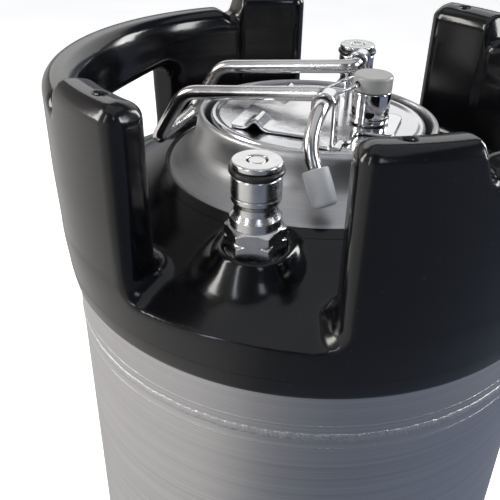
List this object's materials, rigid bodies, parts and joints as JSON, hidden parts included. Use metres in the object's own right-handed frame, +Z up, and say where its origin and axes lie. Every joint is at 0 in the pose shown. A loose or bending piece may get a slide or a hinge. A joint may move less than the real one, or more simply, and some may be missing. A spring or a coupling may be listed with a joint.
{
  "type": "beverage keg",
  "caption": "Tall stainless beverage keg with rubber boots, carrying grips, an oval lid held by a wire bail, a relief valve and quick-connect posts.",
  "frame": {"origin": "centre of the bottom boot's underside, on the floor", "axes": "+Z up along the keg's axis; the gas post stands towards -Y and the liquid post towards +Y; the grips are at +X and -X"},
  "size_m": [0.226, 0.224, 0.635],
  "materials": {
    "satin_steel": "satin, brushed round the body",
    "polished_steel": "polished",
    "boot_rubber": "smooth moulded, semi-gloss",
    "seal_rubber": "smooth",
    "foot_rubber": "matt moulded",
    "cap_plastic": "moulded, slightly glossy"
  },
  "bodies": {
    "keg": {"body_shell": "satin_steel", "top_head": "satin_steel", "bottom_head": "satin_steel", "top_boot": "boot_rubber", "bottom_boot": "boot_rubber", "gas_fitting": "satin_steel", "gas_dip_tube": "satin_steel", "gas_dip_tube_seal": "seal_rubber", "gas_post": "polished_steel", "gas_post_oring": "seal_rubber", "gas_poppet_spring": "polished_steel", "liquid_fitting": "satin_steel", "liquid_dip_tube": "satin_steel", "liquid_dip_tube_seal": "seal_rubber", "liquid_post": "polished_steel", "liquid_post_oring": "seal_rubber", "liquid_poppet_spring": "polished_steel"},
    "gas_valve": {"gas_poppet": "polished_steel", "gas_poppet_seal": "seal_rubber"},
    "liquid_valve": {"liquid_poppet": "polished_steel", "liquid_poppet_seal": "seal_rubber"},
    "lid": {"lid": "polished_steel", "lid_gasket": "seal_rubber", "bail_bracket": "polished_steel", "relief_body": "polished_steel", "relief_nut": "satin_steel", "relief_spring": "polished_steel"},
    "bail": {"bail_wire": "polished_steel", "gas_side_foot": "foot_rubber", "liquid_side_foot": "foot_rubber"},
    "relief": {"relief_seal": "seal_rubber", "relief_stem": "polished_steel", "relief_cap": "cap_plastic"},
    "ring": {"relief_pull_ring": "polished_steel"}
  },
  "joints": [
    {"name": "lid_drop", "type": "slide", "parent": "keg", "child": "lid", "axis": [0, 0, -1], "range_m": [0, 0.002]},
    {"name": "bail_swing", "type": "hinge", "parent": "lid", "child": "bail", "pos_m": [0.0106, 0, 0.62], "axis": [0, 1, 0], "range_deg": [0, 105]},
    {"name": "relief_lift", "type": "slide", "parent": "lid", "child": "relief", "axis": [0, 0, 1], "range_m": [0, 0.0025], "stiffness_N_per_m": 1500, "springref_m": -0.001, "deforming": ["relief_spring"]},
    {"name": "ring_swing", "type": "hinge", "parent": "relief", "child": "ring", "pos_m": [0.0178, 0, 0.6207], "axis": [0, 1, 0], "range_deg": [0, 110]},
    {"name": "gas_poppet_push", "type": "slide", "parent": "keg", "child": "gas_valve", "axis": [0, 0, -1], "range_m": [0, 0.0025], "stiffness_N_per_m": 1500, "springref_m": -0.001, "deforming": ["gas_poppet_spring"]},
    {"name": "liquid_poppet_push", "type": "slide", "parent": "keg", "child": "liquid_valve", "axis": [0, 0, -1], "range_m": [0, 0.0025], "stiffness_N_per_m": 1500, "springref_m": -0.001, "deforming": ["liquid_poppet_spring"]}
  ],
  "couplings": [
    {"joint": "lid_drop", "follows": "bail_swing", "m_per_rad": 0.001}
  ]
}
